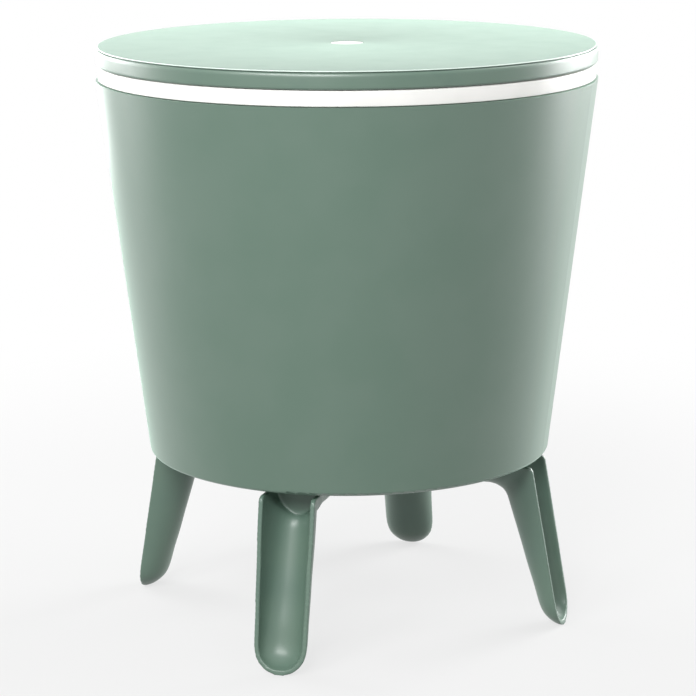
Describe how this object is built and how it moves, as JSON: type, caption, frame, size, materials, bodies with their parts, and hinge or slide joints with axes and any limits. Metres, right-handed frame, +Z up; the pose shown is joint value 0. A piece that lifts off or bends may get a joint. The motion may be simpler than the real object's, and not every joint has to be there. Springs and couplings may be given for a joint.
{
  "type": "cooler table",
  "caption": "Round patio side table with a cooler: insulated tapered drum with an ice bucket on four scoop-shaped legs, under a lid that lifts on a central pole and twists to lock.",
  "frame": {"origin": "centre of the drum's axis on the ground, under the feet", "axes": "+Z up along the pole; the four legs stand along +X, +Y, -X and -Y; the drain is between +X and +Y"},
  "size_m": [0.4919, 0.492, 0.5764],
  "materials": {
    "sage_plastic": "fine satin texture, sage green",
    "white_plastic": "smooth satin white",
    "grey_plastic": "plain moulded",
    "foam": "expanded foam",
    "pole_aluminium": "satin tube",
    "screw_steel": "plain",
    "seal_rubber": "plain"
  },
  "bodies": {
    "drum": {"outer_shell": "sage_plastic", "ice_bucket": "white_plastic", "pole_column": "white_plastic", "wall_insulation": "foam", "base_insulation": "foam", "leg_front": "sage_plastic", "leg_right": "sage_plastic", "leg_back": "sage_plastic", "leg_left": "sage_plastic", "leg_screws": "screw_steel", "guide_sleeve": "grey_plastic", "sleeve_collar": "white_plastic", "collar_screws": "screw_steel", "drain_spout": "white_plastic", "drain_gasket": "seal_rubber", "drain_nut": "white_plastic"},
    "lift_carriage": {"glide_ring": "grey_plastic"},
    "table": {"lift_pole": "pole_aluminium", "lock_foot": "grey_plastic", "foot_screws": "screw_steel", "pole_plug": "grey_plastic", "pole_flange": "white_plastic", "flange_screws": "screw_steel", "pole_bolt": "screw_steel", "table_top": "sage_plastic", "center_cap": "white_plastic", "lid_insulation": "foam", "lid_underside": "white_plastic", "plug_ring": "white_plastic"},
    "drain_cap_carrier": {"drain_seal": "seal_rubber"},
    "drain_cap": {"drain_cap": "white_plastic"}
  },
  "joints": [
    {"name": "table_lift", "type": "slide", "parent": "drum", "child": "lift_carriage", "axis": [0, 0, 1], "range_m": [0, 0.27]},
    {"name": "table_twist", "type": "hinge", "parent": "lift_carriage", "child": "table", "pos_m": [0, 0, 0.35], "axis": [0, 0, -1], "range_deg": [0, 35]},
    {"name": "drain_cap_drop", "type": "slide", "parent": "drum", "child": "drain_cap_carrier", "axis": [0, 0, -1], "range_m": [0, 0.011]},
    {"name": "drain_cap_turn", "type": "hinge", "parent": "drain_cap_carrier", "child": "drain_cap", "pos_m": [0.084, 0.084, 0.16], "axis": [0, 0, -1], "range_deg": [0, 990]}
  ],
  "couplings": [
    {"joint": "drain_cap_drop", "follows": "drain_cap_turn", "m_per_rad": 0.0006366}
  ]
}
